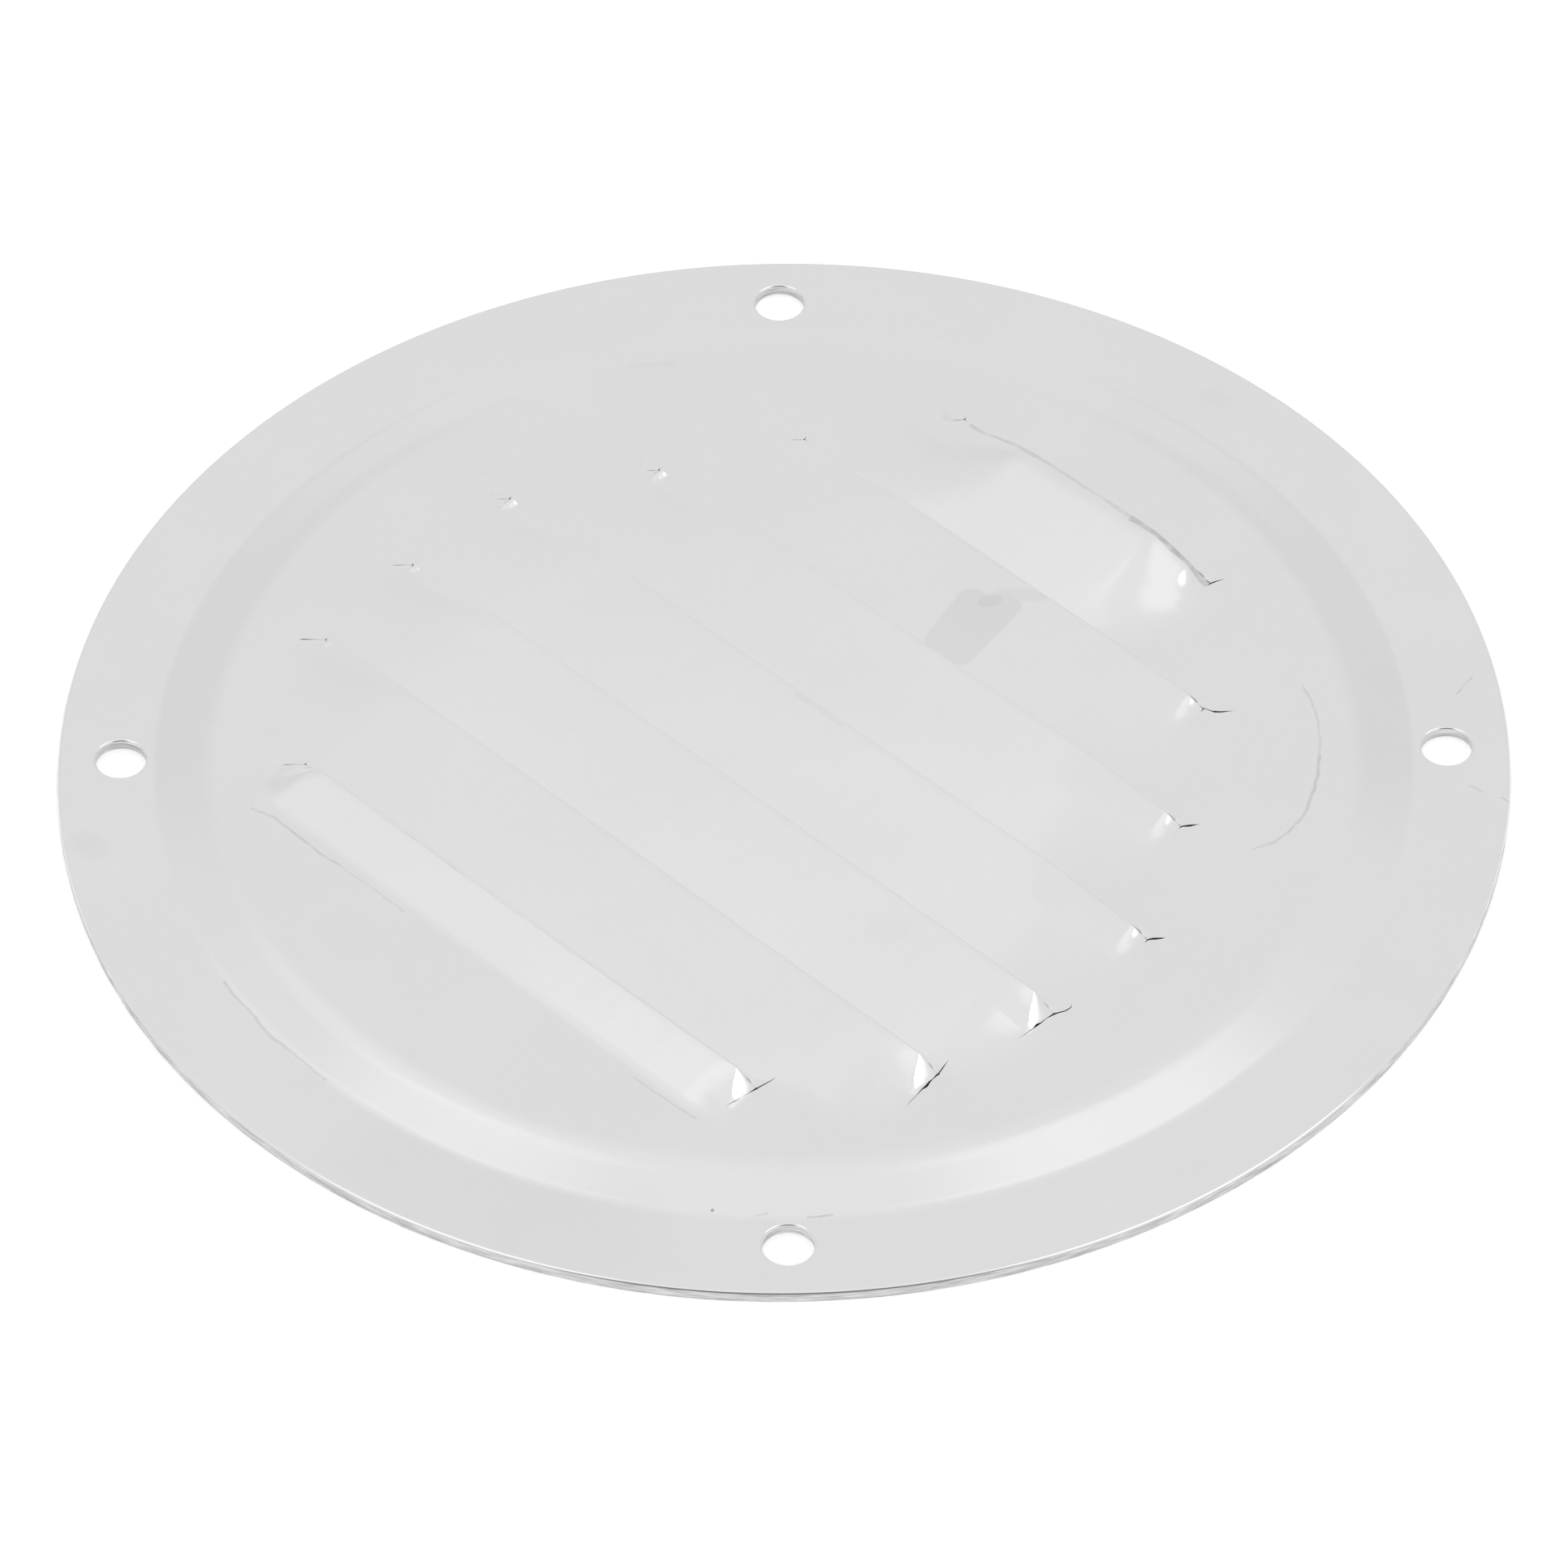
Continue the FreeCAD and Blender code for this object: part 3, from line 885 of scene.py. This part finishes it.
def buildFloor():
    half = floorSetup["size"] / 2
    mesh = bpy.data.meshes.new("studioFloor")
    corners = [(-half, -half, 0), (half, -half, 0), (half, half, 0), (-half, half, 0)]
    mesh.from_pydata(corners, [], [(0, 1, 2, 3)])
    floor = bpy.data.objects.new("studioFloor", mesh)
    scene.collection.objects.link(floor)
    tree = Tree("paleFloor")
    grain = tree.noise(tree.place((1, 1, 1)), floorSetup["grain"], 4)
    tree.put(tree.shader.inputs["Base Color"], tree.reach(grain, noiseSpan, floorSetup["tone"]))
    tree.shader.inputs["Roughness"].default_value = floorSetup["roughness"]
    tree.shader.inputs["Specular IOR Level"].default_value = floorSetup["specular"]
    mesh.materials.append(tree.material)
    print("floor:", floorSetup["size"], "m square")


buildFloor()


# Camera, matched to the photograph: millimetres and degrees
shot = {
    "distance": 910.4,
    "nearest": 10.0,
    "azimuth": 225.0,
    "elevation": 45.17,
    "roll": 0.54,
    "lens": 238.9,
    "shiftX": 0.00014,
    "shiftY": -0.0149,
}


def viewDirection(azimuth, elevation):
    a, e = math.radians(azimuth), math.radians(elevation)
    return Vector((math.sin(a) * math.cos(e), -math.cos(a) * math.cos(e), math.sin(e)))


def buildCamera():
    data = bpy.data.cameras.new("photoCamera")
    data.lens = shot["lens"]
    data.shift_x = shot["shiftX"]
    data.shift_y = shot["shiftY"]
    data.clip_start = shot["nearest"] * mm
    camera = bpy.data.objects.new("photoCamera", data)
    back = viewDirection(shot["azimuth"], shot["elevation"])
    camera.location = back * shot["distance"] * mm
    camera.rotation_mode = "QUATERNION"
    turn = Quaternion((0, 0, 1), -math.radians(shot["roll"]))
    camera.rotation_quaternion = (-back).to_track_quat("-Z", "Y") @ turn
    scene.collection.objects.link(camera)
    scene.camera = camera
    print("camera: azimuth", shot["azimuth"], "elevation", shot["elevation"])


buildCamera()


# Studio light: a pale surround with soft boxes and dim patches, each given in degrees by its turn from
# the camera to the right, elevation, half angle of its core and soft edge, and then by what it adds
studio = {
    "surround": 0.857,
    "boxes": (
        (0, 90, 10, 37, 0.062),
        (-148, 65.5, 2, 7, 0.105),
        (-158, 57.5, 3, 7, 0.042),
        (147, 65, 3, 8, 0.115),
        (116, 59, 3, 4, 0.6),
        (-70, 62, 10, 8, 0.6),
        (84, 59, 14, 6, 0.55),
        (-157, 32, 4, 12, -0.05),
        (157, 32, 4, 12, -0.05),
        (0, 30, 18, 18, -0.62),
    ),
    "floorSun": 1.6,            # lights the floor from the camera's side and isn't mirrored
    "sunAngle": 6,
}


def buildLight():
    world = bpy.data.worlds.new("studio")
    scene.world = world
    world.use_nodes = True
    nodes, links = world.node_tree.nodes, world.node_tree.links
    background = nodes["Background"]
    coords = nodes.new("ShaderNodeTexCoord")
    total = None
    for turn, elevation, half, soft, strength in studio["boxes"]:
        toBox = nodes.new("ShaderNodeVectorMath")
        toBox.operation = "DOT_PRODUCT"
        toBox.inputs[1].default_value = viewDirection(shot["azimuth"] + turn, elevation)
        links.new(coords.outputs["Generated"], toBox.inputs[0])
        glow = nodes.new("ShaderNodeMapRange")
        glow.interpolation_type = "SMOOTHSTEP"
        glow.inputs["From Min"].default_value = math.cos(math.radians(half + soft))
        glow.inputs["From Max"].default_value = math.cos(math.radians(half))
        glow.inputs["To Min"].default_value = 0 if total else studio["surround"]
        glow.inputs["To Max"].default_value = strength + (0 if total else studio["surround"])
        links.new(toBox.outputs["Value"], glow.inputs["Value"])
        if total is None:
            total = glow.outputs["Result"]
            continue
        add = nodes.new("ShaderNodeMath")
        links.new(total, add.inputs[0])
        links.new(glow.outputs["Result"], add.inputs[1])
        total = add.outputs["Value"]
    links.new(total, background.inputs["Strength"])
    background.inputs["Color"].default_value = (1, 1, 1, 1)
    data = bpy.data.lights.new("floorSun", "SUN")
    data.energy = studio["floorSun"]
    data.angle = math.radians(studio["sunAngle"])
    sun = bpy.data.objects.new("floorSun", data)
    sun.rotation_mode = "QUATERNION"
    sun.rotation_quaternion = viewDirection(shot["azimuth"], shot["elevation"]).to_track_quat("Z", "Y")
    sun.visible_glossy = False
    scene.collection.objects.link(sun)
    scene.view_settings.view_transform = "Standard"
    print("light: surround with", len(studio["boxes"]), "soft patches")


buildLight()
